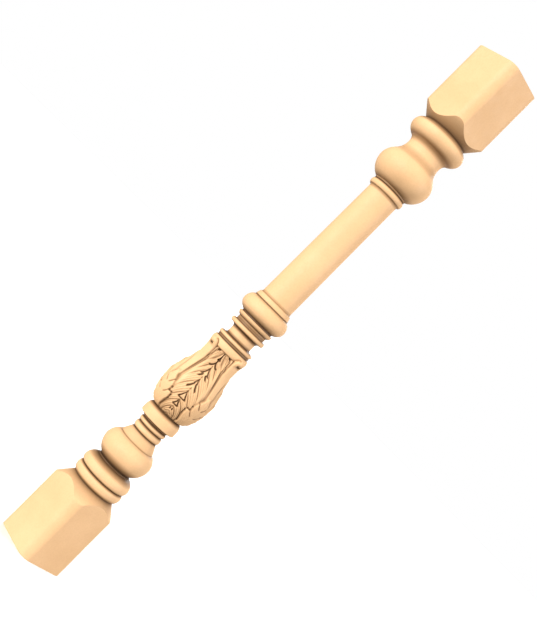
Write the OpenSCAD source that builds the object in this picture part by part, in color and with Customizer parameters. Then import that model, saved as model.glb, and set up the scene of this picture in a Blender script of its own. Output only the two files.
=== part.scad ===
// Stone baluster: a square foot and head block, a turned stem between them,
// and a bulb carved with four acanthus leaves. One piece of stone, origin at
// the middle of the underside, +Z up, block faces square to X and Y.
// Each moulding's own heights and radii are set below, from the foot upwards.
// The plain shaft takes whatever length the mouldings leave of the overall height.

/* [Overall] */
// Height from the underside of the foot to the top of the head
overall_h = 900; // [720:5:1300]
// Width of the square blocks across their flat faces
block_w = 80; // [72:1:110]
// Radius that softens the upright corners of the blocks
corner_r = 14; // [4:1:20]

/* [Blocks] */
// Height of the foot block up to where its corners turn inwards
foot_block_h = 99; // [60:1:160]
// Height of the sloping shoulder over the foot block
foot_shoulder_h = 21.5; // [12:0.5:40]
// Radius where the foot shoulder meets the stem
foot_neck_r = 33; // [28:0.5:36]
// Height of the head block down to where its corners turn inwards
head_block_h = 99; // [60:1:160]
// Height of the sloping shoulder under the head block
head_shoulder_h = 20.2; // [12:0.5:40]
// Radius where the head shoulder meets the stem
head_neck_r = 33.9; // [28:0.5:36]

/* [Foot mouldings] */
// Height of the lower torus under its widest line
torus1_low = 8.8; // [5:0.1:14]
// Height of the lower torus over its widest line
torus1_top = 7.0; // [4:0.1:12]
// Radius of the lower torus
torus1_r = 38.6; // [35:0.1:44]
// Radius of the groove between the two tori
torus_groove_r = 34; // [30:0.1:35]
// Height of the second torus under its widest line
torus2_low = 6.9; // [4:0.1:12]
// Height of the second torus over its widest line
torus2_top = 14.7; // [8:0.1:20]
// Radius of the second torus
torus2_r = 38.9; // [35:0.1:44]
// Radius of the thin fillet over the second torus
fillet_r = 26.7; // [24:0.1:30]
// Height of the thin fillet
fillet_h = 1.6; // [1:0.1:4]
// Height of the lower ball under its widest line
ball_low = 24.1; // [18:0.1:34]
// Height of the lower ball over its widest line
ball_top = 17.5; // [12:0.1:26]
// Radius of the lower ball
ball_r = 38.7; // [35:0.1:44]
// Radius at the foot of the lower ball
ball_foot_r = 23.6; // [20:0.1:26]
// Radius at the top of the lower ball
ball_top_r = 29.2; // [26:0.1:33]
// Depth of the ledge cut in over the lower ball
ledge_depth = 1.9; // [0.5:0.1:3]
// Height of the ledge over the lower ball
ledge_h = 1.8; // [1:0.1:4]
// Height of the tapering throat over the ledge
throat_h = 12.8; // [8:0.1:24]
// Radius at the top of the throat
throat_r = 20.5; // [19.5:0.1:24]

/* [Rings and collar under the bulb] */
// Heights of the three small rings, from the lowest
ring_h = [11.2, 8, 3.4]; // [3:0.1:16]
// Radius of the three small rings
ring_r = 22; // [20:0.1:26]
// Radius of the grooves between the small rings
ring_groove_r = 18.5; // [15:0.1:19.4]
// Radius of the collar that carries the bulb
collar_r = 28.7; // [26:0.1:34]
// Height of the collar's straight band
collar_band_h = 7; // [4:0.1:14]
// Height of the collar's rounded top
collar_round_h = 10.8; // [6:0.1:16]
// Size of the small chamfer under the collar
collar_chamfer = 1.1; // [0.5:0.1:2]
// Radius of the seat of the bulb on the collar
bulb_seat_r = 23; // [20:0.1:25]

/* [Carved bulb] */
// Height of the bulb from the collar to the underside of the abacus ring
bulb_h = 112.5; // [90:1:150]
// Height of the widest line over the collar
belly_h = 42; // [30:1:56]
// Radius of the bulb at its widest line
belly_r = 41; // [36:0.5:50]
// Radius of the neck between two leaves
neck_r = 27.5; // [24:0.5:30]
// Radius of the neck on the leaves' midribs
neck_rib_r = 33.3; // [30:0.5:36]
// Number of large leaves round the bulb
leaf_count = 4; // [3:1:6]
// Depth of the ground that shows in the eyes between two leaves
eye_depth = 3; // [1:0.1:4]
// Height of a frond over the groove beside it
frond_depth = 1; // [0.3:0.1:1.6]
// Height of the midrib over the leaf beside it
rib_depth = 1.4; // [0.5:0.1:2.5]
// Height of the small lower leaves over the large leaves
low_leaf_depth = 1.7; // [0.5:0.1:3]
// Radius of the roll that each leaf's tip curls into
tip_roll_r = 4.6; // [3:0.1:7]
// How far the curled tip stands out from the midrib
tip_reach = 0.6; // [0:0.1:3]

/* [Abacus, neck and rings over the bulb] */
// Height of the abacus ring under its widest line
abacus_low = 5.4; // [3:0.1:9]
// Height of the abacus ring over its widest line
abacus_top = 6.2; // [3:0.1:9]
// Radius of the abacus ring
abacus_r = 30.4; // [29:0.1:34]
// Radius at the edges of the abacus ring
abacus_edge_r = 28; // [26:0.1:28.8]
// Height of the band over the abacus ring
reglet_h = 3.2; // [2.5:0.1:6]
// Radius of the band over the abacus ring
reglet_r = 27.4; // [26:0.1:28]
// Depth and width of the line cut round that band
reglet_line = 0.7; // [0.3:0.1:1]
// Height of the bead over that band
bead_h = 6.2; // [4:0.1:12]
// Radius of the bead
bead_r = 28.6; // [27:0.1:33]
// Height of the curve at the foot of the hollow neck
waist_low = 2.8; // [1:0.1:8]
// Height of the hollow neck's straight middle
waist_straight = 8.5; // [1:0.1:20]
// Height of the curve at the top of the hollow neck
waist_top = 4.5; // [1:0.1:10]
// Radius of the hollow neck's straight middle
waist_r = 20.2; // [18:0.1:23]
// Radius at the ends of the hollow neck
waist_end_r = 25; // [23.5:0.1:26]
// Height of the ring over the hollow neck
disc_h = 7; // [4:0.1:12]
// Radius of the ring over the hollow neck
disc_r = 29; // [27:0.1:34]
// Height of the straight part between the ring and the flared ring
cove_h = 5.9; // [3:0.1:10]
// Radius of the straight part
cove_r = 24.2; // [22:0.1:26]
// Height of the flared ring
flare_h = 6.9; // [4:0.1:12]
// Height of the deep groove over the flared ring
groove_h = 2.2; // [1:0.1:4]
// Radius of the deep groove
groove_r = 26.3; // [24:0.1:27]

/* [Bell and plain shaft] */
// Height of the bell under its widest line
bell_low = 12.6; // [8:0.1:18]
// Height of the bell over its widest line
bell_top = 13.9; // [8:0.1:20]
// Radius of the bell
bell_r = 36.7; // [33:0.1:42]
// Radius at the foot of the bell
bell_foot_r = 26.8; // [26.5:0.1:30]
// Radius at the top of the bell
bell_top_r = 28.2; // [28:0.1:31]
// Height of the sloping band between the bell and the shaft
band_h = 7.4; // [4:0.1:14]
// Radius at the foot of the sloping band
band_foot_r = 29.3; // [28.6:0.1:32]
// Radius at the top of the sloping band
band_top_r = 27.2; // [26:0.1:28]
// Height of the small sweep at each end of the shaft
sweep_h = 3; // [2:0.1:6]
// Radius at the foot of the shaft
shaft_foot_r = 24.9; // [22:0.1:25.5]
// Radius at the head of the shaft
shaft_head_r = 23.9; // [20:0.1:24.5]

/* [Head mouldings] */
// Radius at the top of the shaft's upper sweep
sweep_r = 25.3; // [24.6:0.1:25.6]
// Height of the bead over the shaft
astragal_h = 9.4; // [5:0.1:14]
// Radius of the bead over the shaft
astragal_r = 27.9; // [27:0.1:32]
// Height of the thin fillet over the bead
head_fillet_h = 3; // [1.5:0.1:5]
// Radius of the thin fillet over the bead
head_fillet_r = 26.4; // [26:0.1:28]
// Height of the upper ball under its widest line
cup_low = 26; // [18:0.1:36]
// Height of the upper ball from its widest line to where it turns hollow
cup_top = 18.9; // [12:0.1:28]
// Radius of the upper ball
cup_r = 43.4; // [40:0.1:48]
// Radius at the foot of the upper ball
cup_foot_r = 26.7; // [24:0.1:30]
// Radius where the upper ball turns hollow
cup_turn_r = 35; // [32:0.1:37]
// Height of the cove up to its narrowest line
cove2_low = 17.9; // [10:0.1:24]
// Height of the cove over its narrowest line
cove2_top = 11.1; // [7:0.1:18]
// Radius of the cove at its narrowest line
cove2_r = 28; // [25:0.1:30]
// Radius of the crease over the cove
cove2_end_r = 33.5; // [31:0.1:35]
// Height of the head torus under its widest line
torus3_low = 14.1; // [8:0.1:20]
// Height of the head torus over its widest line
torus3_top = 13.3; // [8:0.1:20]
// Radius of the head torus
torus3_r = 44; // [38:0.1:48]

/* [Hidden] */
$fn = 96;

stone = [0.93, 0.8, 0.6];
steps = 7;        // straight pieces in each quarter round
small_steps = 4;  // straight pieces in each quarter round of a small ring
corner_steps = 8; // flats in each softened corner
grid_a = 96;      // columns of facets round the bulb
grid_z = 44;      // rows of facets up the bulb
core_r = 15;      // core of the stem inside the bulb
sink = 2.5;       // how far the bulb is let into the rings at its ends
nick = 0.2;       // narrow ledge beside a groove
carved_edge = 1.1; // half the width of a carved edge

// Heights of the stages of the stem, each from the one below
z_neck = foot_block_h + foot_shoulder_h;
z_torus2 = z_neck + torus1_low + torus1_top;
z_fillet = z_torus2 + torus2_low + torus2_top;
z_ball = z_fillet + fillet_h;
z_ledge = z_ball + ball_low + ball_top;
z_rings = z_ledge + ledge_h + throat_h;
z_collar = z_rings + ring_h[0] + ring_h[1] + ring_h[2];
z_collar_round = z_collar + collar_chamfer + collar_band_h;
z_bulb = z_collar_round + collar_round_h;
z_abacus = z_bulb + bulb_h;
z_reglet = z_abacus + abacus_low + abacus_top;
z_bead = z_reglet + reglet_h;
z_hollow = z_bead + bead_h;
z_disc = z_hollow + waist_low + waist_straight + waist_top;
z_cove = z_disc + disc_h;
z_flare = z_cove + cove_h;
z_groove = z_flare + flare_h;
z_bell = z_groove + groove_h;
z_band = z_bell + bell_low + bell_top;
z_shaft = z_band + band_h;

// Heights of the stages of the head, each from the one above
z_head = overall_h - head_block_h - head_shoulder_h;
z_torus3 = z_head - torus3_low - torus3_top;
z_turn = z_torus3 - cove2_low - cove2_top;
z_cup = z_turn - cup_low - cup_top;
z_head_fillet = z_cup - head_fillet_h;
z_astragal = z_head_fillet - astragal_h;

// How far a softened block corner stands from the middle
corner_reach = (block_w / 2 - corner_r) * sqrt(2) + corner_r;

// ---- Outlines ----

// Points from pm, where the outline runs straight up, to p, along an
// elliptic arc that turns through t degrees
function half_arc(pm, p, t, n) = [
    for (i = [0:n])
        let (u = t * i / n)
        let (a = (pm[0] - p[0]) / (1 - cos(t)))
        let (b = (p[1] - pm[1]) / sin(t))
        [pm[0] - a * (1 - cos(u)), pm[1] + b * sin(u)]
];
function reversed(list) = [for (i = [len(list) - 1:-1:0]) list[i]];
function tail(list) = [for (i = [1:len(list) - 1]) list[i]];

// A moulding from p0 through its widest or narrowest point pm up to p1
function moulding(p0, pm, p1, t0 = 90, t1 = 90, n = steps) =
    concat(reversed(half_arc(pm, p0, t0, n)), tail(half_arc(pm, p1, t1, n)));

// A small round ring between two grooves
function small_ring(z, h) = moulding([ring_groove_r, z + nick], [ring_r, z + h / 2],
    [ring_groove_r, z + h], 90, 90, small_steps);

// Stem from the foot shoulder up to the bulb's seat
function low_outline() = concat(
    moulding([foot_neck_r, z_neck], [torus1_r, z_neck + torus1_low], [torus_groove_r, z_torus2]),
    tail(moulding([torus_groove_r, z_torus2], [torus2_r, z_torus2 + torus2_low],
        [fillet_r, z_fillet], 90, 74)),
    [[fillet_r, z_ball - nick]],
    moulding([ball_foot_r, z_ball], [ball_r, z_ball + ball_low], [ball_top_r, z_ledge], 63, 47),
    [[ball_top_r - ledge_depth, z_ledge + nick]],
    [[ball_top_r - ledge_depth, z_ledge + ledge_h]],
    [[throat_r, z_rings]],
    small_ring(z_rings, ring_h[0]),
    small_ring(z_rings + ring_h[0], ring_h[1]),
    small_ring(z_rings + ring_h[0] + ring_h[1], ring_h[2]),
    [[collar_r - collar_chamfer, z_collar + nick]],
    [[collar_r, z_collar + collar_chamfer]],
    half_arc([collar_r, z_collar_round], [bulb_seat_r, z_bulb], 90, steps)
);

// Stem from the underside of the abacus ring up to the shaft
function middle_outline() = concat(
    moulding([abacus_edge_r, z_abacus], [abacus_r, z_abacus + abacus_low], [reglet_r, z_reglet]),
    reglet_line_cut(z_reglet + nick),
    reglet_line_cut(z_bead - reglet_line),
    moulding([reglet_r - reglet_line, z_bead + nick], [bead_r, z_bead + bead_h / 2],
        [waist_end_r, z_hollow]),
    tail(reversed(half_arc([waist_r, z_hollow + waist_low], [waist_end_r, z_hollow], 90, steps))),
    half_arc([waist_r, z_disc - waist_top], [waist_end_r, z_disc], 90, steps),
    moulding([disc_r - disc_h / 3, z_disc + nick], [disc_r, z_disc + disc_h / 2],
        [disc_r - disc_h / 3, z_cove]),
    [[cove_r, z_cove + nick], [cove_r, z_flare]],
    tail(reversed(half_arc([disc_r, z_groove - nick], [cove_r, z_flare], 84, steps))),
    [[groove_r, z_groove], [groove_r, z_bell - nick]],
    moulding([bell_foot_r, z_bell], [bell_r, z_bell + bell_low], [bell_top_r, z_band], 62, 72),
    [[band_foot_r, z_band + nick], [band_top_r, z_shaft]]
);
function reglet_line_cut(z) = [
    [reglet_r, z - nick], [reglet_r - reglet_line, z],
    [reglet_r - reglet_line, z + reglet_line - nick], [reglet_r, z + reglet_line]
];

// Stem from the foot of the shaft up to the head shoulder
function high_outline() = concat(
    reversed(half_arc([shaft_foot_r, z_shaft + sweep_h],
        [band_top_r - nick, z_shaft + nick], 90, steps)),
    half_arc([shaft_head_r, z_astragal - sweep_h], [sweep_r, z_astragal], 90, steps),
    moulding([sweep_r, z_astragal + nick], [astragal_r, z_astragal + astragal_h / 2],
        [sweep_r, z_head_fillet]),
    [[head_fillet_r, z_head_fillet + head_fillet_h / 3], [head_fillet_r, z_cup - nick]],
    moulding([cup_foot_r, z_cup], [cup_r, z_cup + cup_low], [cup_turn_r, z_turn], 65, 35),
    tail(moulding([cup_turn_r, z_turn], [cove2_r, z_turn + cove2_low],
        [cove2_end_r, z_torus3], 50, 70)),
    tail(moulding([cove2_end_r, z_torus3], [torus3_r, z_torus3 + torus3_low],
        [head_neck_r, z_head], 60, 65))
);

// ---- Carved bulb ----

function clamp01(x) = min(1, max(0, x));
// Smooth step from 0 at x0 to 1 at x1
function ease(x, x0, x1) = let (t = clamp01((x - x0) / (x1 - x0))) t * t * (3 - 2 * t);
// Half a wave from 1 down to 0
function fall(t) = (1 + cos(180 * clamp01(t))) / 2;

sector = 360 / leaf_count;   // one large leaf, in degrees
belly_share = belly_h / bulb_h;
neck_share = 0.925;          // where the neck between two leaves is narrowest
rib_neck_share = 0.82;       // where the midribs stop closing in
rib_half = [6, 12.5];        // half width of a midrib, low and high, in degrees
rib_span = [0.45, 0.8];      // between which shares of the height it widens
frond_lead = 0.0095;         // rise of a frond for each degree, as a share
frond_sweep = 0.16;          // how much more it rises close to the midrib
low_leaf_wide = [23, 0.19];  // half width of a lower leaf and where it is widest
low_leaf_foot = 12;          // half width of a lower leaf at its foot
low_leaf_tip = 0.475;        // height of a lower leaf's tip, as a share
low_leaf_lobes = 3;          // lobes on each side of a lower leaf
lobe_cut = 3.5;              // depth of the notches between them, in degrees
tip_half = 10.5;             // half width of a curled tip, in degrees
foot_draw = 0.5;             // how much the carving closes in at its foot
foot_draw_h = 0.1;           // share of the height over which it does

// The eyes between two leaves, from the lowest: base and apex as shares of
// the bulb's height, and half width in degrees
eyes = [[0.17, 0.25, 8], [0.28, 0.39, 10], [0.44, 0.57, 11],
    [0.61, 0.75, 13.5], [0.77, 0.85, 12.5], [0.89, 0.97, 6]];
tips = concat([0, 0.13], [for (e = eyes) e[1]], [1.12]);

// Radius of the plain bulb: an ellipse below the belly, then a half wave that
// closes to the neck between two leaves (k = 0) or to the midribs (k = 1)
function bulb_foot_r() = bulb_seat_r - 1;
function bulb_r(h, k) =
    h < belly_share
    ? bulb_foot_r() + (belly_r - bulb_foot_r()) * sqrt(1 - pow(1 - max(h, 0) / belly_share, 2))
    : let (end_r = k * neck_rib_r + (1 - k) * neck_r)
      let (end_h = k * rib_neck_share + (1 - k) * neck_share)
      end_r + (belly_r - end_r) * fall((h - belly_share) / (end_h - belly_share));

// Angle from the nearest midrib
function from_rib(a) = abs(a - sector * round(a / sector));

// Share of the height at which the frond through this spot meets the gap
function frond_end(h, gap) = h + frond_lead * gap + frond_sweep * pow(gap / 37, 5);
function frond_curve(v) = 4 * v * (1 - v);
function frond(q) = max([
    for (i = [0:len(tips) - 2])
        q >= tips[i] && q < tips[i + 1] ? frond_curve((q - tips[i]) / (tips[i + 1] - tips[i])) : 0
]);

// 1 inside an eye, 0 on a leaf; e is the soft edge as a share of the height
function eye(h, gap, e) = max([
    for (o = eyes)
        let (leg = o[1] - (o[1] - o[0]) * gap / o[2])
        ease(h, o[0] - e, o[0] + e) * ease(leg - h, -e, e)
]);

// Half width of a lower leaf, with notched lobes up to its pointed tip
function low_half(h) =
    let (t = (h - low_leaf_wide[1]) / (low_leaf_tip - low_leaf_wide[1]))
    t < 0
    ? low_leaf_foot + (low_leaf_wide[0] - low_leaf_foot) * ease(h, 0, low_leaf_wide[1])
    : low_leaf_wide[0] * pow(clamp01(1 - t), 0.75)
        - lobe_cut * (t * low_leaf_lobes % 1) * clamp01(1 - t);

// Radius of the leaves at an angle and a share of the height
function leaf_r(a, h) =
    let (off = from_rib(a))
    let (gap = sector / 2 - off)
    let (k = 1 - ease(off, rib_half[1], 0.75 * sector / 2))
    let (r = bulb_r(h, k))
    let (deg = carved_edge * 180 / (PI * r))
    let (rib = rib_half[0] + (rib_half[1] - rib_half[0]) * ease(h, rib_span[0], rib_span[1]))
    let (on_rib = 1 - ease(off, rib - deg, rib + deg))
    let (low = h < low_leaf_tip ? 1 - ease(off, low_half(h) - deg, low_half(h) + deg) : 0)
    let (cut = eye(h, gap, carved_edge / bulb_h) * eye_depth)
    let (ridge = frond_depth * frond(frond_end(h, gap)) * (1 - cut / eye_depth))
    r - (1 - on_rib) * (1 - low) * (rib_depth + cut - ridge)
        + low * low_leaf_depth - foot_draw * ease(h, foot_draw_h, 0);

// Radius of the curled tips, which roll out over the abacus ring
function tip_r(a, z) =
    let (dz = z - z_abacus - tip_roll_r)
    let (off = from_rib(a) / tip_half)
    abs(dz) >= tip_roll_r || off >= 1 ? 0
    : neck_rib_r + tip_reach + sqrt(tip_roll_r * tip_roll_r - dz * dz) - pow(off, 4) * tip_roll_r;

// Radius of the whole carving; above and below it, the bulb hides in the rings
function carving_r(a, z) =
    let (h = (z - z_bulb) / bulb_h)
    let (own = h < 0 ? bulb_seat_r - sink : h > 1 ? abacus_edge_r - sink : leaf_r(a, h))
    max(own, tip_r(a, z));

module carved_bulb() {
    z0 = z_bulb - sink;
    z1 = z_reglet - nick;
    points = [
        for (j = [0:grid_z])
            for (i = [0:grid_a - 1])
                let (a = 360 * i / grid_a)
                let (z = z0 + (z1 - z0) * j / grid_z)
                let (r = carving_r(a, z))
                [r * cos(a), r * sin(a), z]
    ];
    sides = [
        for (j = [0:grid_z - 1])
            for (i = [0:grid_a - 1])
                let (p = j * grid_a + i)
                let (q = j * grid_a + (i + 1) % grid_a)
                let (a = 360 * (i + 0.5) / grid_a)
                for (facet = a > sector * round(a / sector)
                    ? [[p, p + grid_a, q + grid_a], [p, q + grid_a, q]]
                    : [[p, p + grid_a, q], [q, p + grid_a, q + grid_a]])
                    facet
    ];
    floor_face = [for (i = [0:grid_a - 1]) i];
    roof_face = [for (i = [grid_a - 1:-1:0]) grid_z * grid_a + i];
    color(stone) polyhedron(points, concat(sides, [floor_face], [roof_face]), convexity = 8);
}

// ---- Turned stem and square blocks ----

module stem() {
    color(stone) rotate_extrude() polygon(concat(
        [[0, z_neck]],
        low_outline(),
        [[core_r, z_bulb], [core_r, z_abacus]],
        middle_outline(),
        high_outline(),
        [[0, z_head]]
    ));
}

// Outline of a square block with softened corners
function block_outline() = [
    for (c = [0:3])
        for (i = [0:corner_steps])
            let (a = 90 * c + 90 * i / corner_steps)
            let (m = (block_w / 2 - corner_r) * sqrt(2))
            [m * cos(90 * c + 45) + corner_r * cos(a), m * sin(90 * c + 45) + corner_r * sin(a)]
];

// A block standing on z = 0, its shoulder turned to a cone that cuts the
// corners back to the stem's radius and leaves an arch on each face
module block(h, shoulder_h, end_r) {
    over = 2;
    slope = shoulder_h / (corner_reach - end_r);
    color(stone) intersection() {
        linear_extrude(h + shoulder_h) polygon(block_outline());
        rotate_extrude() polygon([
            [0, 0], [corner_reach + over, 0], [corner_reach + over, h - slope * over],
            [end_r, h + shoulder_h], [0, h + shoulder_h]
        ]);
    }
}

module foot_block() {
    block(foot_block_h, foot_shoulder_h, foot_neck_r);
}

module head_block() {
    translate([0, 0, overall_h]) mirror([0, 0, 1])
        block(head_block_h, head_shoulder_h, head_neck_r);
}

module baluster() {
    union() {
        foot_block();
        stem();
        carved_bulb();
        head_block();
    }
}

baluster();
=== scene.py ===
# %% [markdown]
# # A carved stone baluster
# The real thing is one block of warm, pale stone, 900 mm tall. A mason cuts
# a square block at each end, turns the stem between them on a lathe, and
# carves the bulb low on the stem with four acanthus leaves whose tips curl
# out at the top. The lesson follows the mason: turn, square, carve, finish.

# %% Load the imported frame
import math

import bpy
import numpy as np
from mathutils import Matrix, Vector


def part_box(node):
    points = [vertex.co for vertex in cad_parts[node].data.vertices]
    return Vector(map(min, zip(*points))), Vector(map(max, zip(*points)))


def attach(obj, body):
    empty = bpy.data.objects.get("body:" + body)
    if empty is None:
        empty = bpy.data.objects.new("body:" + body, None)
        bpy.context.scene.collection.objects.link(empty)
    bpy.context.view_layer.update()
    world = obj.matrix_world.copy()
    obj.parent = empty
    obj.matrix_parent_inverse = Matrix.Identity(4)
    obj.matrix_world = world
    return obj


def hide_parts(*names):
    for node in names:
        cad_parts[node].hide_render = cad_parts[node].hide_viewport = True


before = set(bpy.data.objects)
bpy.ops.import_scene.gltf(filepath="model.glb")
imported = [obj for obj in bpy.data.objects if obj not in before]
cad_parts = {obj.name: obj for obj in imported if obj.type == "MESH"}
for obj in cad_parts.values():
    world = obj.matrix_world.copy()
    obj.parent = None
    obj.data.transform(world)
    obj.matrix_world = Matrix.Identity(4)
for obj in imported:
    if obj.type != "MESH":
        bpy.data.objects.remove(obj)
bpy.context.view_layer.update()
MM = 0.001
low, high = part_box("baluster")
AXIS = (low + high) / 2
OVERALL = (high.z - low.z) / MM

# %% [markdown]
# ## Camera
# The baluster stands upright, and the camera is rolled by an eighth of a
# turn, so that the stem runs from the lower left to the upper right. It
# looks level at the middle of the stem, straight at a corner of the blocks.

# %% Place the camera
VIEW_TURN = math.radians(45)
VIEW_ROLL = math.radians(45)
VIEW_DISTANCE = 1.55
VIEW_HEIGHT = 0.4493
FIELD = math.radians(30)
SENSOR = 36.0

back = Vector((math.sin(VIEW_TURN), -math.cos(VIEW_TURN), 0))
upright = Vector((0, 0, 1))
side = (-back).cross(upright)
image_up = math.cos(VIEW_ROLL) * upright - math.sin(VIEW_ROLL) * side
image_right = (-back).cross(image_up)

bpy.ops.object.camera_add()
camera = bpy.context.object
camera.name = "camera"
camera.data.sensor_width = SENSOR
camera.data.lens = SENSOR / 2 / math.tan(FIELD / 2)
camera.matrix_world = Matrix.Translation(
    Vector((AXIS.x, AXIS.y, VIEW_HEIGHT)) + back * VIEW_DISTANCE
) @ Matrix((image_right, image_up, back)).transposed().to_4x4()
bpy.context.scene.camera = camera
print("the camera has a lens of", round(camera.data.lens, 1), "mm")

# %% [markdown]
# ## Floor and light
# A white floor and white surroundings, as in a studio. The surroundings look
# brighter than the light they give, so that hollows and undersides stay
# dark. One broad lamp low on the left models the rounds, a weaker one on the
# right opens the shadows, and two more serve the top and the far side.

# %% Floor, sky and lamps
def plain_material(name, color, roughness):
    material = bpy.data.materials.new(name)
    material.use_nodes = True
    shader = material.node_tree.nodes["Principled BSDF"]
    shader.inputs["Base Color"].default_value = (*color, 1)
    shader.inputs["Roughness"].default_value = roughness
    return material


def lamp(name, turn, rise, strength, softness):
    """A distant lamp, turned from the camera to the right and raised above
    the horizon, both in degrees."""
    turn, rise = math.radians(turn), math.radians(rise)
    level = back * math.cos(turn) + side * math.sin(turn)
    towards = level * math.cos(rise) + upright * math.sin(rise)
    bpy.ops.object.light_add(type="SUN")
    sun = bpy.context.object
    sun.name = name
    sun.data.energy = strength
    sun.data.angle = math.radians(softness)
    sun.rotation_euler = towards.to_track_quat("Z", "Y").to_euler()


def studio_world(seen, above, below):
    """Surroundings of one brightness to the camera, which light the stone
    with another: above from the upper half and below from the lower half."""
    world = bpy.data.worlds.new("studio")
    world.use_nodes = True
    nodes, links = world.node_tree.nodes, world.node_tree.links
    sky = nodes["Background"]
    sky.inputs["Color"].default_value = (1, 1, 1, 1)
    direction = nodes.new("ShaderNodeTexCoord")
    parts = nodes.new("ShaderNodeSeparateXYZ")
    rise = nodes.new("ShaderNodeMapRange")
    limits = {"From Min": -0.3, "From Max": 0.3, "To Min": below, "To Max": above}
    for name, value in limits.items():
        rise.inputs[name].default_value = value
    rays = nodes.new("ShaderNodeLightPath")
    mix = nodes.new("ShaderNodeMix")
    mix.inputs["B"].default_value = seen
    links.new(direction.outputs["Generated"], parts.inputs["Vector"])
    links.new(parts.outputs["Z"], rise.inputs["Value"])
    links.new(rays.outputs["Is Camera Ray"], mix.inputs["Factor"])
    links.new(rise.outputs["Result"], mix.inputs["A"])
    links.new(mix.outputs["Result"], sky.inputs["Strength"])
    return world


bpy.ops.object.select_all(action="DESELECT")
bpy.ops.mesh.primitive_plane_add(size=60, location=(AXIS.x, AXIS.y, low.z))
floor = bpy.context.object
floor.name = "floor"
floor.data.materials.append(plain_material("pale_floor", (0.93, 0.93, 0.93), 0.9))
floor.visible_diffuse = False
bpy.context.scene.world = studio_world(seen=1.0, above=0.36, below=0.12)
bpy.context.scene.view_settings.view_transform = "Standard"

lamp("key_lamp", -40, 12, 6.1, 25)
lamp("fill_lamp", 80, 10, 3.8, 25)
lamp("top_lamp", 0, 75, 0.5, 40)
lamp("back_lamp", 170, 30, 3.0, 40)

# %% [markdown]
# ## Turning the stem
# A lathe cuts one outline all the way round. In Blender that is a line of
# points, extruded one after another from a single vertex, and then spun
# round the axis. Each moulding is two quarter rounds that meet at its
# widest or narrowest point, as a mason sets them out with compasses. A stack
# of cylinders and tori could look the same, but every joint between them
# would have to be closed, and one spun outline has none.

# %% Draw a moulding
ARC_STEPS = 12   # straight pieces in each quarter round
NICK = 0.2       # narrow ledge beside a groove, in mm


def quarter(widest, end, turn=90, steps=ARC_STEPS):
    """Points (radius, height) in mm from the widest point to end, along an
    elliptic arc that turns through turn degrees."""
    t = math.radians(turn)
    reach = (widest[0] - end[0]) / (1 - math.cos(t))
    rise = (end[1] - widest[1]) / math.sin(t)
    return [
        (
            widest[0] - reach * (1 - math.cos(t * i / steps)),
            widest[1] + rise * math.sin(t * i / steps),
        )
        for i in range(steps + 1)
    ]


def moulding(start, widest, end, turn_low=90, turn_top=90, steps=ARC_STEPS):
    below = quarter(widest, start, turn_low, steps)
    return below[::-1] + quarter(widest, end, turn_top, steps)[1:]


def divided(points, longest=1.7):
    """The same outline, with its straight slopes cut into short pieces."""
    finer = points[:1]
    for (r0, z0), (r1, z1) in zip(points, points[1:]):
        pieces = max(1, math.ceil((z1 - z0) / longest))
        finer += [
            (r0 + (r1 - r0) * i / pieces, z0 + (z1 - z0) * i / pieces)
            for i in range(1, pieces + 1)
        ]
    return finer


print("a moulding has", len(moulding((20, 0), (22, 4), (20, 8))), "points")

# %% [markdown]
# The mouldings are stacked from the floor up: two tori, a ball, a throat
# with three small rings, and the collar that the carved bulb sits in.

# %% Outline under the bulb
BLOCK_H = 99.0      # straight part of each square block
Z_NECK = BLOCK_H + 21.5     # top of the foot block's shoulder
FOOT_NECK_R = 33.0
Z_TORUS2 = Z_NECK + 8.8 + 7.0
Z_FILLET = Z_TORUS2 + 6.9 + 14.7
Z_BALL = Z_FILLET + 1.6
Z_LEDGE = Z_BALL + 24.1 + 17.5
Z_RINGS = Z_LEDGE + 1.8 + 12.8
RINGS = (11.2, 8.0, 3.4)
RING_R, RING_GROOVE_R = 22.0, 18.5
Z_COLLAR = Z_RINGS + sum(RINGS)
Z_BULB = Z_COLLAR + 1.1 + 7.0 + 10.8
SEAT_R = 23.0

outline_low = (
    moulding((FOOT_NECK_R, Z_NECK), (38.6, Z_NECK + 8.8), (34, Z_TORUS2))
    + moulding((34, Z_TORUS2), (38.9, Z_TORUS2 + 6.9), (26.7, Z_FILLET), 90, 74)[1:]
    + [(26.7, Z_BALL - NICK)]
    + moulding((23.6, Z_BALL), (38.7, Z_BALL + 24.1), (29.2, Z_LEDGE), 63, 47)
    + [(27.3, Z_LEDGE + NICK), (27.3, Z_LEDGE + 1.8), (20.5, Z_RINGS)]
)
z = Z_RINGS
for ring in RINGS:
    outline_low += moulding(
        (RING_GROOVE_R, z + NICK), (RING_R, z + ring / 2), (RING_GROOVE_R, z + ring)
    )
    z += ring
outline_low += [(27.6, Z_COLLAR + NICK), (28.7, Z_COLLAR + 1.1)]
outline_low += quarter((28.7, Z_COLLAR + 8.1), (SEAT_R, Z_BULB))
print("the stem below the bulb ends", round(Z_BULB, 1), "mm up")

# %% [markdown]
# Above the bulb come a thick round, two fine lines, a bead, a waist, a disc
# and a bell-shaped moulding, and then the plain shaft.

# %% Outline from the bulb to the shaft
Z_ABACUS = Z_BULB + 112.5
Z_REGLET = Z_ABACUS + 5.4 + 6.2
Z_BEAD = Z_REGLET + 3.2
Z_HOLLOW = Z_BEAD + 6.2
Z_DISC = Z_HOLLOW + 2.8 + 8.5 + 4.5
Z_COVE = Z_DISC + 7
Z_FLARE = Z_COVE + 5.9
Z_GROOVE = Z_FLARE + 6.9
Z_BELL = Z_GROOVE + 2.2
Z_BAND = Z_BELL + 12.6 + 13.9
Z_SHAFT = Z_BAND + 7.4
LINE = 0.7          # depth and width of a fine line
CORE_R = 15.0       # radius of the stem inside the carving


def fine_line(r, z):
    return [(r, z - NICK), (r - LINE, z), (r - LINE, z + LINE - NICK), (r, z + LINE)]


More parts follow.
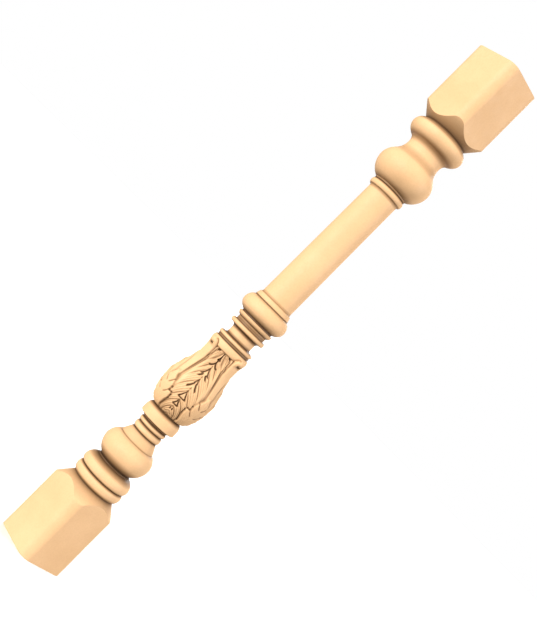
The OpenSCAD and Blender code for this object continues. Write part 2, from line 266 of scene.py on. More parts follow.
outline_middle = (
    moulding((28, Z_ABACUS), (30.4, Z_ABACUS + 5.4), (27.4, Z_REGLET))
    + fine_line(27.4, Z_REGLET + NICK)
    + fine_line(27.4, Z_BEAD - LINE)
    + moulding((27.4 - LINE, Z_BEAD + NICK), (28.6, Z_BEAD + 3.1), (25, Z_HOLLOW))
    + quarter((20.2, Z_HOLLOW + 2.8), (25, Z_HOLLOW))[::-1][1:]
    + quarter((20.2, Z_DISC - 4.5), (25, Z_DISC))
    + moulding((26.7, Z_DISC + NICK), (29, Z_DISC + 3.5), (26.7, Z_COVE))
    + [(24.2, Z_COVE + NICK), (24.2, Z_FLARE)]
    + quarter((29, Z_GROOVE - NICK), (24.2, Z_FLARE), 84)[::-1][1:]
    + [(26.3, Z_GROOVE), (26.3, Z_BELL - NICK)]
    + moulding((26.8, Z_BELL), (36.7, Z_BELL + 12.6), (28.2, Z_BAND), 62, 72)
    + [(29.3, Z_BAND + NICK), (27.2, Z_SHAFT)]
)
print("the plain shaft starts", round(Z_SHAFT, 1), "mm up")

# %% [markdown]
# The head is set out from the top down, so that it always meets the head
# block: an astragal, a cup, a cove and the widest torus of all.

# %% Outline from the shaft to the head
HEAD_NECK_R = 33.9
Z_HEAD = OVERALL - BLOCK_H - 20.2
Z_TORUS3 = Z_HEAD - 13.3 - 14.1
Z_TURN = Z_TORUS3 - 11.1 - 17.9
Z_CUP = Z_TURN - 18.9 - 26
Z_HEAD_FILLET = Z_CUP - 3
Z_ASTRAGAL = Z_HEAD_FILLET - 9.4
SHAFT_PIECES = 28   # rows of faces up the plain shaft, closer at its ends
SHAFT_FLARE = 3.0   # height of the flare at each end of the shaft, in mm

shaft = []
plain_h = Z_ASTRAGAL - Z_SHAFT - 2 * SHAFT_FLARE
for i in range(SHAFT_PIECES + 1):
    share = (1 - math.cos(math.pi * i / SHAFT_PIECES)) / 2
    shaft.append((24.9 - share, Z_SHAFT + SHAFT_FLARE + plain_h * share))
outline_high = (
    quarter(shaft[0], (27.0, Z_SHAFT + NICK))[::-1]
    + shaft[1:-1]
    + quarter(shaft[-1], (25.3, Z_ASTRAGAL))
    + moulding((25.3, Z_ASTRAGAL + NICK), (27.9, Z_ASTRAGAL + 4.7), (25.3, Z_HEAD_FILLET))
    + [(26.4, Z_HEAD_FILLET + 1), (26.4, Z_CUP - NICK)]
    + moulding((26.7, Z_CUP), (43.4, Z_CUP + 26), (35, Z_TURN), 65, 35)
    + moulding((35, Z_TURN), (28, Z_TURN + 17.9), (33.5, Z_TORUS3), 50, 70)[1:]
    + moulding((33.5, Z_TORUS3), (44, Z_TORUS3 + 14.1), (HEAD_NECK_R, Z_HEAD), 60, 65)[1:]
)
print("the head torus ends", round(Z_HEAD, 1), "mm up")

# %% [markdown]
# The whole outline becomes one line of edges, spun in fine steps. Where the
# line starts and ends on the axis, the spin closes the solid by itself.

# %% Draw the outline and spin it
SPIN_STEPS = 144
INTO_BLOCK = 4.0    # how far the stem runs into each block, in mm
NARROWED = 0.02     # how much narrower it is by then, in mm
SAME_POINT = 1e-6   # points nearer than this become one, in metres


def turned(name, points, steps):
    """A closed solid, spun from an outline of (radius, height) in mm."""
    bpy.ops.object.select_all(action="DESELECT")
    bpy.ops.mesh.primitive_plane_add(size=MM)
    piece = bpy.context.object
    piece.name = name
    bpy.ops.object.mode_set(mode="EDIT")
    bpy.ops.mesh.select_mode(type="VERT")
    bpy.ops.mesh.merge(type="CENTER")
    bpy.ops.transform.translate(value=(points[0][0] * MM, 0, points[0][1] * MM))
    for (r0, z0), (r1, z1) in zip(points, points[1:]):
        bpy.ops.mesh.extrude_region_move(
            TRANSFORM_OT_translate={"value": ((r1 - r0) * MM, 0, (z1 - z0) * MM)}
        )
    bpy.ops.mesh.select_all(action="SELECT")
    bpy.ops.mesh.spin(steps=steps, angle=2 * math.pi, center=(0, 0, 0), axis=(0, 0, 1))
    bpy.ops.mesh.select_all(action="SELECT")
    bpy.ops.mesh.remove_doubles(threshold=SAME_POINT)
    bpy.ops.mesh.normals_make_consistent(inside=False)
    bpy.ops.object.mode_set(mode="OBJECT")
    return piece


outline = (
    [(0, Z_NECK - INTO_BLOCK), (FOOT_NECK_R - NARROWED, Z_NECK - INTO_BLOCK)]
    + divided(outline_low)
    + [(CORE_R, Z_BULB), (CORE_R, Z_ABACUS)]
    + divided(outline_middle)
    + outline_high
    + [(HEAD_NECK_R - NARROWED, Z_HEAD + INTO_BLOCK), (0, Z_HEAD + INTO_BLOCK)]
)
stone = turned("baluster_stone", outline, SPIN_STEPS)
print("the turned stem has", len(stone.data.polygons), "faces")

# %% [markdown]
# ## Squaring the blocks
# Each end is a square block with softened corners. Its shoulder is turned to
# a cone, which cuts the corners back and leaves an arch on each face. So a
# cube gets its corners bevelled, and then keeps only what lies in a cone.
# The arches could be drawn face by face, but the cut gives them by itself,
# as it does on the lathe. It leaves a few slivers of edges, which are welded
# away so that the last, narrow bevel runs evenly round the arches.

# %% Cut a block
BLOCK_W = 80.0
CORNER_R = 14.0
CORNER_STEPS = 14
CORNER_REACH = (BLOCK_W / 2 - CORNER_R) * math.sqrt(2) + CORNER_R
ARRIS = 0.5         # softening of the crisp edges, in mm
CRISP = math.radians(17)    # least angle of a crisp edge
CONE_STEPS = 160
CONE_RINGS = 10     # rings up a shoulder, closer together near the stem
CONE_PAST = 5.0     # how far the cone starts beyond the block's end, in mm
SLIVER = 0.15       # edges shorter than this are welded away, in mm
LET_IN = 1.2        # how far a block reaches into the stem, in mm
HAIR = 0.04         # keeps two surfaces from meeting exactly, in mm


def apply_modifier(piece, kind, **settings):
    """Adds one modifier to the piece and applies it."""
    bpy.ops.object.select_all(action="DESELECT")
    bpy.context.view_layer.objects.active = piece
    piece.select_set(True)
    bpy.ops.object.modifier_add(type=kind)
    modifier = piece.modifiers[-1]
    for name, value in settings.items():
        setattr(modifier, name, value)
    bpy.ops.object.modifier_apply(modifier=modifier.name)


def combine(piece, other, operation):
    apply_modifier(piece, "BOOLEAN", object=other, operation=operation, solver="EXACT")
    bpy.data.objects.remove(other)


def block(name, end, neck, neck_r, corner):
    """A square block from height end to height neck, in mm. Its shoulder
    starts at the corners at height corner and meets the stem at neck_r. The
    block goes on a little way inside the stem, so that the two overlap."""
    way = 1 if neck > end else -1
    top = neck + way * LET_IN
    bpy.ops.object.select_all(action="DESELECT")
    bpy.ops.mesh.primitive_cube_add(size=1)
    piece = bpy.context.object
    piece.name = name
    bpy.ops.object.mode_set(mode="EDIT")
    bpy.ops.transform.resize(value=(BLOCK_W * MM, BLOCK_W * MM, abs(top - end) * MM))
    bpy.ops.transform.translate(value=(0, 0, (top + end) / 2 * MM))
    bpy.ops.mesh.select_all(action="DESELECT")
    bpy.ops.mesh.select_mode(type="EDGE")
    bpy.ops.object.mode_set(mode="OBJECT")
    for edge in piece.data.edges:
        ends = [piece.data.vertices[v].co for v in edge.vertices]
        edge.select = abs(ends[0].z - ends[1].z) > MM
    bpy.ops.object.mode_set(mode="EDIT")
    bpy.ops.mesh.bevel(offset=CORNER_R * MM, offset_type="OFFSET", segments=CORNER_STEPS)
    bpy.ops.object.mode_set(mode="OBJECT")
    reach = CORNER_REACH + HAIR
    run, rise = neck_r + HAIR - reach, neck - corner
    wide, start = reach - run / 6, end - way * CONE_PAST
    cone = [(0, start), (wide, start), (wide, corner - rise / 6)]
    for i in range(1, CONE_RINGS):
        part = 1 - (1 - i / CONE_RINGS) ** 2
        cone.append((reach + run * part, corner + rise * part))
    cone += [(neck_r + HAIR, neck), (neck_r - 0.6 * LET_IN, top + way), (0, top + way)]
    combine(piece, turned("cone", cone, CONE_STEPS), "INTERSECT")
    apply_modifier(piece, "WELD", merge_threshold=SLIVER * MM)
    apply_modifier(
        piece, "BEVEL", width=ARRIS * MM, segments=3,
        limit_method="ANGLE", angle_limit=CRISP,
    )
    return piece


foot = block("foot_block", 0.0, Z_NECK, FOOT_NECK_R, BLOCK_H)
head = block("head_block", OVERALL, Z_HEAD, HEAD_NECK_R, OVERALL - BLOCK_H)
print("foot and head blocks have", len(foot.data.polygons), "and", len(head.data.polygons), "faces")

# %% [markdown]
# The blocks and the stem are one stone, so they are united into one solid.
# Where two surfaces cross, points that fall together are merged.

# %% Unite the stem and the blocks
combine(stone, foot, "UNION")
combine(stone, head, "UNION")
bpy.ops.object.mode_set(mode="EDIT")
bpy.ops.mesh.select_all(action="SELECT")
bpy.ops.mesh.remove_doubles(threshold=3 * SAME_POINT)
bpy.ops.mesh.dissolve_degenerate(threshold=SAME_POINT)
bpy.ops.mesh.normals_make_consistent(inside=False)
bpy.ops.object.mode_set(mode="OBJECT")
print("the united stone has", len(stone.data.polygons), "faces")

# %% [markdown]
# ## The bulb's blank
# The carver starts from a turned bulb. Here the blank is a plain cylinder of
# many small faces, and the carving then moves each of its points to where
# the chisel leaves it. It could be sculpted by hand instead, but points that
# are worked out repeat exactly on all four leaves. The rows at the top are
# packed closer, because there the leaf tips roll over and need more of them.

# %% Turn the blank
BULB_COLUMNS = 416
Z_LOW = Z_BULB - 2.5
Z_CURL = 364.0      # height at which the leaf tips start to roll over
CURL_ROWS_END = 384.0
Z_HIDDEN = 374.0    # height at which the blank ends inside the stem
rows = np.concatenate([
    np.linspace(Z_LOW, Z_CURL, 182),
    np.linspace(Z_CURL, CURL_ROWS_END, 56)[1:],
])
BLANK_R = 24.0
blank_outline = [(0, Z_LOW)] + [(BLANK_R, float(z)) for z in rows] + [(0, CURL_ROWS_END)]
bulb = turned("carved_bulb", blank_outline, BULB_COLUMNS)
print("the blank has", len(bulb.data.polygons), "faces")

# %% [markdown]
# ## Where the chisel goes
# Four leaves stand round the bulb, so every spot is measured by its angle
# from the nearest midrib, or from the nearest gap between two leaves, and by
# its height. Each leaf is the same on both sides of its midrib, so one
# eighth of the bulb is enough to describe all of it.

# %% Measure the spots
columns = np.arange(BULB_COLUMNS) * 360 / BULB_COLUMNS
angle, spot_row = np.meshgrid(columns, rows, indexing="ij")
off = np.abs((angle + 45) % 90 - 45)    # degrees from a midrib
gap = 45 - off                          # degrees from a gap
MM_PER_DEGREE = math.radians(1) * 34    # at the bulb's usual radius


def ease(x, x0, x1):
    """Smooth step from 0 at x0 to 1 at x1."""
    t = np.clip((x - x0) / (x1 - x0), 0, 1)
    return t * t * (3 - 2 * t)


def fall(t):
    """Half a wave from 1 down to 0."""
    return (1 + np.cos(math.pi * np.clip(t, 0, 1))) / 2


roll = np.clip((spot_row - Z_CURL) / (CURL_ROWS_END - Z_CURL), 0, 1)
TIP_HALF = 13.2                         # half width of a curled tip, in degrees
on_tip = off < TIP_HALF
FACE_SHARE, RIM_SHARE = 0.3, 0.55       # share of the top rows that still climb
FACE_RISE, RIM_RISE = 4.4, 6.2          # and how far they climb, in mm
spot_z = np.where(
    on_tip,
    np.minimum(spot_row, Z_CURL) + np.minimum(roll / FACE_SHARE, 1) * FACE_RISE,
    np.minimum(spot_row, Z_CURL) + np.minimum(roll / RIM_SHARE, 1) * RIM_RISE,
)
print("one eighth of the bulb is described by", off.size // 8, "spots")

# %% [markdown]
# The bulb swells to its belly and closes in again to a neck. The midribs
# stay further out than the gaps, so the neck is nearly square in plan.

# %% The plain bulb
BELLY_Z, BELLY_R = 300.0, 40.8
BASE_R, BASE_DROP = 22, 42.5    # radius at the bulb's foot, and how far below the belly
GAP_R, GAP_RISE = 27.5, 61      # the same at the neck, in the gaps
RIB_R, RIB_RISE = 33.3, 50      # and on the midribs


def plain_bulb(off, z):
    swell = np.sqrt(np.clip(1 - ((BELLY_Z - z) / BASE_DROP) ** 2, 0, 1))
    below = BASE_R + (BELLY_R - BASE_R) * swell
    gap_line = GAP_R + (BELLY_R - GAP_R) * fall((z - BELLY_Z) / GAP_RISE)
    rib_line = RIB_R + (BELLY_R - RIB_R) * fall((z - BELLY_Z) / RIB_RISE)
    on_rib = 1 - ease(off, 11, 33)
    return np.where(z < BELLY_Z, below, gap_line + (rib_line - gap_line) * on_rib)


form = plain_bulb(off, spot_z)
print("the plain bulb is", round(form.min(), 1), "to", round(form.max(), 1), "mm in radius")

# %% [markdown]
# Side fronds sweep up from the midrib to the gap, where they meet the
# fronds of the next leaf. All their flutes follow one family of curves, so
# a spot is also measured by the height at which its curve reaches the gap.

# %% Fronds and their flutes
FROND_ENDS = (248, 260.5, 273, 286.3, 301.2, 321.8, 342.4, 353.2, 373, 400, 440)
FLUTES = (2, 3, 3, 3, 4, 4, 3, 4, 5, 6)
FLUTE_DEPTH, FOOT_FLUTE_DEPTH, CROWN_DEPTH = 0.85, 0.3, 1.3    # in mm

steeper = 1 + 0.8 * ease(spot_z, 344, 364)
arch = 1 + 6 * (1 - ease(spot_z, 272, 290))     # rounds the curves off at the gap
rounded = np.sqrt(gap ** 2 + arch ** 2) - arch
flow = spot_z + (0.83 * rounded + 26.7 * (np.minimum(gap, 40) / 37) ** 5) * steeper
frond_crown = np.zeros(flow.shape)
frond_flutes = np.zeros(flow.shape)
for start, end, flutes in zip(FROND_ENDS, FROND_ENDS[1:], FLUTES):
    share = (flow - start) / (end - start)
    here = (share >= 0) & (share < 1)
    frond_crown[here] = np.sin(math.pi * share[here]) ** 0.7
    frond_flutes[here] = (1 - np.cos(2 * math.pi * flutes * share[here])) / 2
near_rib = (1 - ease(off, 19, 25)) * ease(spot_z, 320, 336)
flute_depth = FLUTE_DEPTH * (1 - ease(gap, 20, 31)) * (1 - near_rib)
flute_depth += FOOT_FLUTE_DEPTH * (1 - ease(spot_z, 262, 285))
frond_relief = -CROWN_DEPTH * (1 - frond_crown) * (0.3 + 0.7 * ease(off, 10, 28))
frond_relief -= flute_depth * (1 - frond_flutes)
print("the fronds' flutes are cut", round(-frond_relief.min(), 1), "mm deep")

# %% [markdown]
# Between the fronds the chisel goes down to the ground in pointed eyes. A
# pocket is drawn as its outline on one side of the gap, and every spot is
# asked how far it lies inside, which gives clean, steep walls.

# %% Pockets and grooves
def within(outline, x, z):
    """How far each spot lies inside a closed outline, in mm, and negative
    outside it. The outline is given as (degrees, height in mm)."""
    near = np.full(x.shape, 1e9)
    inside = np.zeros(x.shape, bool)
    corners = [(d * MM_PER_DEGREE, h) for d, h in outline]
    x = x * MM_PER_DEGREE
    for (x0, z0), (x1, z1) in zip(corners, corners[1:] + corners[:1]):
        run, rise = x1 - x0, z1 - z0
        t = np.clip(((x - x0) * run + (z - z0) * rise) / (run * run + rise * rise), 0, 1)
        near = np.minimum(near, np.hypot(x - x0 - t * run, z - z0 - t * rise))
        if rise:
            inside ^= ((z0 > z) != (z1 > z)) & (x < run * (z - z0) / rise + x0)
    return np.where(inside, near, -near)


def groove(line, width, x, z):
    """1 along an open line and 0 beyond half its width."""
    near = np.full(x.shape, 1e9)
    points = [(d * MM_PER_DEGREE, h) for d, h in line]
    x = x * MM_PER_DEGREE
    for (x0, z0), (x1, z1) in zip(points, points[1:]):
        run, rise = x1 - x0, z1 - z0
        t = np.clip(((x - x0) * run + (z - z0) * rise) / (run * run + rise * rise), 0, 1)
        near = np.minimum(near, np.hypot(x - x0 - t * run, z - z0 - t * rise))
    return 1 - ease(near, 0, width / 2)


WALL = 1.3          # width of a chiselled wall, in mm
TRENCH_W = 6.2      # width of the trench along an open eye's arms, in mm
OPEN_GROUND, DEEP_GROUND = 0.45, 0.3    # depth of the ground, as a share
OPEN_EYES = (       # the ground rises to the frond ends at the base
    [(1.1, 371), (1.1, 366), (1.6, 362), (2.6, 359.6), (6.2, 357.0), (2.2, 356.3),
     (1.3, 355.5), (1.5, 353.0), (3.6, 350.2), (6.6, 348.3), (10.0, 346.9), (13.6, 346.2),
     (12.6, 344.3), (9.0, 344.4), (0, 344.8)],
    [(0, 342.6), (2.6, 340.0), (6.0, 335.9), (9.8, 332.2), (14.4, 329.9), (9.5, 330.3),
     (6.0, 330.4), (9.0, 328.4), (12.0, 325.8), (14.6, 324.2), (10.0, 325.6), (0, 325.6)],
    [(0, 323.6), (0.7, 323.0), (0.9, 321.6), (3.2, 319.2), (5.2, 315.6), (4.6, 314.2),
     (8.0, 310.0), (11.6, 306.6), (10.2, 304.6), (8.6, 306.0), (0, 306.2)],
)
ARMS = (12, 9, 9)   # points of each open eye that belong to its arms
DEEP_EYES = (       # a trench goes all the way round
    [(0, 301.4), (1.4, 299.4), (3.4, 297.0), (6.0, 292.9), (8.2, 290.6), (9.9, 288.6),
     (6, 287.9), (0, 287.9)],
    [(0, 286.2), (2.6, 284.2), (3.0, 282.0), (4.6, 279.4), (7.9, 277.0), (6.5, 275.9), (0, 275.9)],
)


def beyond_gap(outline):
    """Closes a half outline on the far side of the gap."""
    return outline + [(-12, outline[-1][1]), (-12, outline[0][1])]


def eye(outline, arms):
    """The depth of an eye, as a share. A trench follows the arms of an open
    eye, and the ground between them rises to the surface at its base. A deep
    eye has as many arms as points, and its trench goes all the way round."""
    inside = ease(within(beyond_gap(outline), gap, spot_z), -WALL / 2, WALL / 2)
    trench = groove(outline[:arms], TRENCH_W, gap, spot_z)
    base = outline[-1][1]
    ground = OPEN_GROUND * ease(spot_z, base - 0.5, base + 8)
    if arms == len(outline):
        trench = 1 - ease(within(beyond_gap(outline), gap, spot_z), 0.6, 1.7)
        ground = DEEP_GROUND
    return inside * np.maximum(np.minimum(trench * 1.8, 1), ground)


eyes = np.zeros(gap.shape)
for pocket, arms in zip(OPEN_EYES, ARMS):
    eyes = np.maximum(eyes, eye(pocket, arms))
for pocket in DEEP_EYES:
    eyes = np.maximum(eyes, eye(pocket, len(pocket)))
print("the eyes cover", round(100 * float((eyes > 0.5).mean()), 1), "% of the bulb")

# %% [markdown]
# Under the curled tips the side fronds end in round-topped lobes, with deep
# gaps between them that reach in behind the thick round above.

# %% Gaps between the top lobes
TOP_GAPS = (
    [(15.6, 371), (25.2, 371), (25.0, 367.4), (23.4, 365.6), (21.0, 366.4), (17.4, 367.6),
     (15.8, 369.2)],
    [(27.8, 371), (31.2, 371.5), (31.6, 366.0), (30.6, 365.2), (29.2, 367.6)],
)
top_gaps = np.zeros(gap.shape)
for pocket in TOP_GAPS:
    top_gaps = np.maximum(top_gaps, ease(within(pocket, gap, spot_z), -WALL / 2, WALL / 2))
lobe_lines = np.maximum(
    groove([(15.6, 369), (20.0, 360), (27.0, 350)], 1.6, gap, spot_z),
    groove([(24.4, 367), (28.0, 358), (32.5, 348)], 1.6, gap, spot_z),
)
print("the top gaps are", len(TOP_GAPS), "on each side of a leaf")

# %% [markdown]
# A broad midrib runs up the middle of each leaf and stands a little proud.
# At its foot lies a smaller leaf with three pointed lobes on each side.

# %% Midribs and lower leaves
RIB_Z = (257, 310, 326, 336, 346, 372)
RIB_HALF = (5.0, 6.0, 8.0, 10.0, 12.7, 13.2)
LOWER_LEAF = [
    (-6, 300), (0, 313.2), (2.0, 311.8), (4.6, 308.4), (8.0, 304.8), (10.2, 302.2), (11.2, 300.6),
    (10.4, 299.6), (12.4, 299.2), (14.6, 294.4), (16.2, 290.8), (16.9, 288.4), (15.8, 285.6),
    (15.0, 284.3), (19.0, 285.2), (23.6, 284.0), (24.0, 281.6), (23.3, 277.0), (21.6, 273.0),
    (18.0, 267.6), (14.8, 263.2), (12.6, 259.5), (11.0, 255), (-6, 255),
]
FAN_DEPTH, RIB_FLUTE_DEPTH, LEAF_FLUTE_DEPTH = 1.15, 0.28, 0.55    # in mm
RIB_FLUTE_W = 4.4       # from flute to flute on a midrib, in degrees
LEAF_FLUTE_W = 4.5      # and on a lower leaf, in mm

rib_half = np.interp(spot_z, RIB_Z, RIB_HALF)
rib_edge = (rib_half - off) * MM_PER_DEGREE
on_rib = ease(rib_edge, -1.3, 0.5)
rib_wave = np.abs(np.cos(math.pi * off / RIB_FLUTE_W)) - 1
rib_flutes = RIB_FLUTE_DEPTH * rib_wave * ease(rib_edge, 0.4, 1.4)
fan_pitch = np.interp(spot_z, (312, 368), (1.1, 3.0))
fan = np.clip((-rib_edge - 0.8) / fan_pitch, 0, 2)
fan_relief = -FAN_DEPTH * (1 + np.cos(2 * math.pi * fan)) / 2 * (1 - ease(fan, 1.6, 2))
fan_relief *= ease(spot_z, 312, 330) * (rib_edge < 0)

leaf_in = within(LOWER_LEAF, off, spot_z)
on_leaf = ease(leaf_in, -1.2, 0.9)
leaf_flow = spot_z - off
leaf_wave = (1 - np.cos(2 * math.pi * (leaf_flow - 270.5) / LEAF_FLUTE_W)) / 2
leaf_flutes = LEAF_FLUTE_DEPTH * (leaf_wave * ease(off, 1.5, 4) - 1)
leaf_cuts = np.maximum(
    groove([(11.4, 300.2), (8.4, 296.5), (3.9, 292.5)], 2.2, off, spot_z),
    groove([(15.0, 284.2), (11, 280.6), (5.8, 278.0)], 2.2, off, spot_z),
)
leaf_pockets = np.maximum(
    groove([(16.6, 291.0), (15.4, 285.4), (18.4, 284.8), (22.5, 285.0)], 3.0, off, spot_z),
    groove(
        [(24.2, 283.0), (23.7, 277.0), (21.8, 272.8), (18.4, 267.6), (14.8, 263.0)],
        2.8, off, spot_z,
    ),
)
leaf_rib = 0.5 * (1 - ease(off, 0.6, 2.4)) * ease(spot_z, 262, 270)
print("a midrib is", 2 * RIB_HALF[0], "to", 2 * RIB_HALF[-1], "degrees wide")

# %% [markdown]
# Everything is added up to one radius for each spot: the plain bulb, less
# the fronds' flutes and the pockets, plus the midribs and the lower leaves.

# %% Add up the relief
def shifted(table, across, along):
    """The table read a few columns across, all round, and a few rows along."""
    along = np.clip(np.arange(table.shape[1]) + along, 0, table.shape[1] - 1)
    return np.roll(table, -across, 0)[:, along]


def softened(table):
    """Each spot averaged with its four neighbours."""
    around = sum(shifted(table, *way) for way in ((1, 0), (-1, 0), (0, 1), (0, -1)))
    return (2 * table + around) / 6


EYE_DEPTH, TOP_DEPTH = 3.6, 4.5         # all depths are in mm
RIB_STEP, LEAF_STEP = 2.3, 1.9
LOBE_CUT, SEAM_CUT, LEAF_CUT = 0.7, 0.9, 1.3
NOTCH_CUT, DOT_CUT, BASE_CUT = 2.6, 2.4, 1.0

frond_level = form + frond_relief - RIB_STEP * (1 - ease(-rib_edge, 0, 9)) + fan_relief
seam = groove([(0, 346), (0, 288)], 1.8, gap, spot_z)
frond_level -= LOBE_CUT * lobe_lines + SEAM_CUT * seam
pockets = np.maximum(EYE_DEPTH * eyes, TOP_DEPTH * top_gaps)
fronds = np.where(pockets > 0, np.minimum(frond_level, form - pockets), frond_level)
radius = fronds + (form + rib_flutes - fronds) * on_rib
leaf_level = form + LEAF_STEP + leaf_flutes + leaf_rib - LEAF_CUT * leaf_cuts
radius += (leaf_level - radius) * on_leaf
radius -= NOTCH_CUT * leaf_pockets * (1 - 0.35 * on_leaf)
dots = groove([(2.6, 270.6), (3.0, 268.8)], 2.6, gap, spot_z)
base_line = groove([(-20, 262.4), (14, 262.4), (18, 261.0)], 1.8, gap, spot_z)
radius -= DOT_CUT * dots + BASE_CUT * base_line * (1 - on_leaf)
radius = softened(radius)
print("the carving is", round(radius.min(), 1), "to", round(radius.max(), 1), "mm in radius")

# %% [markdown]
# The tip of each leaf rolls out over the thick round above it. Seen from the
# side it is a circle that starts under a small lip, comes forward and goes
# back over the top. It is fullest on the midrib and dies out at the sides.

# %% Curl the tips
ROLL_R, ROLL_AXIS_R, LIP_Z = 4.9, 32.6, 368.4
ROLL_START, ROLL_END = -90, 138     # degrees round the roll, where 0 faces out
SIDE_LATER = 62                     # the sides of a tip start this much later
ROLL_SHARE = 0.6                    # share of the top rows that go round the roll
TIP_FLUTE_DEPTH = 0.22
LIP_CUT, CORNER_CUT, RIM_CUT = 1.7, 1.2, 1.6
curl = ROLL_R * np.sqrt(np.clip(1 - (off / TIP_HALF) ** 2, 0.004, 1))
curl_z = LIP_Z + curl
at_side = ease(off, 4.2, 6.4)
start_turn = ROLL_START + SIDE_LATER * at_side
rolled = np.clip((roll - FACE_SHARE) / ROLL_SHARE, 0, 1)
turn = np.radians(start_turn + (ROLL_END - start_turn) * rolled)
ribbed = curl + TIP_FLUTE_DEPTH * rib_wave * (1 - ease(off, 9, 12))
curl_r = ROLL_AXIS_R + ribbed * np.cos(turn)
curl_up = curl_z + ribbed * np.sin(turn)
first = np.radians(start_turn)
face = ease(roll / FACE_SHARE, 0, 1) * 0.4 + np.clip(roll / FACE_SHARE, 0, 1) * 0.6
face_r = radius + (ROLL_AXIS_R + ribbed * np.cos(first) - radius) * face
face_z = Z_CURL + (curl_z + ribbed * np.sin(first) - Z_CURL) * np.clip(roll / FACE_SHARE, 0, 1)
tip_r = np.where(roll < FACE_SHARE, face_r, curl_r)
tip_z = np.where(roll < FACE_SHARE, face_z, curl_up)
tip_r -= np.exp(-(((roll - FACE_SHARE) / 0.035) ** 2)) * LIP_CUT * (1 - ease(off, 3.8, 5.4))
tip_r -= np.exp(-(((roll - FACE_SHARE) / 0.05) ** 2) - ((off - 4.6) / 0.9) ** 2) * CORNER_CUT
ending = ease(roll, 0.9, 1)
tip_r += (BLANK_R - tip_r) * ending
tip_z += (Z_HIDDEN - tip_z) * ending

rim_r = radius - RIM_CUT * ease(roll, RIM_SHARE - 0.16, RIM_SHARE)
past_rim = np.clip((roll - RIM_SHARE) / (1 - RIM_SHARE), 0, 1)
edge_r = rim_r + (BLANK_R - rim_r) * ease(past_rim, 0, 0.3)
edge_z = spot_z + (Z_HIDDEN - spot_z) * past_rim

curls = (roll > 0) & on_tip
edges = (roll > 0) & ~on_tip
carved_r = np.where(curls, tip_r, np.where(edges, edge_r, radius))
carved_z = np.where(curls, tip_z, np.where(edges, edge_z, spot_z))
sunk = 1 - ease(spot_row, Z_BULB - 1, Z_BULB + 2.5)
carved_r += (SEAT_R - 2.2 - carved_r) * sunk
print("the tips reach", round(tip_r[curls].max(), 1), "mm out of the axis")

# %% [markdown]
# Last, each point of the blank is looked up by its column and row and moved
# to its carved place.

# %% Carve the blank
def read_all(items, name, kind=float, width=1):
    """One property of every vertex, face or corner, as a table."""
    values = np.empty(len(items) * width, kind)
    items.foreach_get(name, values)
    return values.reshape(-1, width) if width > 1 else values


spots = read_all(bulb.data.vertices, "co", width=3) / MM
spot_turn = np.degrees(np.arctan2(spots[:, 1], spots[:, 0]))
column = np.rint(spot_turn * BULB_COLUMNS / 360).astype(int) % BULB_COLUMNS
row = np.abs(spots[:, 2, None] - rows[None, :]).argmin(axis=1)
on_side = np.hypot(spots[:, 0], spots[:, 1]) > BLANK_R / 2
turned_by = np.radians(columns[column])
moved = np.where(
    on_side[:, None],
    np.stack([
        carved_r[column, row] * np.cos(turned_by),
        carved_r[column, row] * np.sin(turned_by),
        carved_z[column, row],
    ], axis=1),
    np.stack([spots[:, 0], spots[:, 1], np.where(row > 0, Z_HIDDEN, Z_LOW)], axis=1),
)
bulb.data.vertices.foreach_set("co", (moved * MM).ravel())
bulb.data.update()
print("the carved bulb has", 2 * len(bulb.data.polygons), "triangles at most")

# %% [markdown]
# ## The stone
# Warm, honey-coloured limestone, rubbed smooth. Its colour drifts a little
# from place to place and has a fine grain. Hollows are painted darker, as
# painted shade. An Ambient Occlusion node could
# find them in each render anew, but how hollow a spot is never changes, so
# it is measured once and kept with the mesh, as an attribute.

# %% Measure the hollows
def sheltered(r, z, turn, directions, steps):
    """How much of the open air a spot can't see, from 0 on a round to 1 in a
    deep slit. It looks both ways along each direction for the steepest rise."""
    blocked = []
    for across, along in directions:
        both_ways = np.zeros(r.shape)
        for way in (1, -1):
            steepest = np.full(r.shape, -math.pi / 2)
            for k in range(1, steps + 1):
                there = way * k * across, way * k * along
                away = np.hypot(there[0] * turn * r, shifted(z, *there) - z) + 1e-6
                steepest = np.maximum(steepest, np.arctan2(shifted(r, *there) - r, away))
            both_ways += steepest
        blocked.append(np.maximum(both_ways, 0) / math.pi)
    return (np.max(blocked, axis=0) + np.mean(blocked, axis=0)) / 2


def keep_hollows(mesh, values, domain="POINT"):
    layer = mesh.attributes.new("hollow", "FLOAT", domain)
    layer.data.foreach_set("value", np.clip(values, 0, 1).astype(np.float32))


ALL_WAYS = ((1, 0), (0, 1), (1, 1), (1, -1))
BULB_REACH = 10     # steps that a spot on the bulb looks each way
hollow = sheltered(carved_r, carved_z, math.radians(360 / BULB_COLUMNS), ALL_WAYS, BULB_REACH)
bulb_hollow = np.where(on_side, softened(hollow)[column, row], 0)
# these values become painted shade in the stone material
keep_hollows(bulb.data, bulb_hollow)
print("hollows are deepest at", round(float(bulb_hollow.max()), 2), "on the bulb")

# %% [markdown]
# The stem is the same all round, so its outline is enough. Painted shade lies
# in the corner of a moulding, and more thinly on slopes that face up or down in a
# wide hollow. The flat faces of the blocks get no painted shade, and they share
# their edges with the shaded shoulders, so here each corner of each face
# keeps its own value.

# %% Measure the stem's hollows
LINE_STEP = 0.5             # spacing of the heights that are looked at, in mm
NEAR, WIDE = 8, 50          # steps that a spot looks each way
# painted shade on slopes that face up or down, and the steepest tilt that counts
TILTED_SHADE, MOST_TILT = 1.6, 0.6
IN_SIGHT = slice(-5)        # the bulb's last five rows lie inside the stem

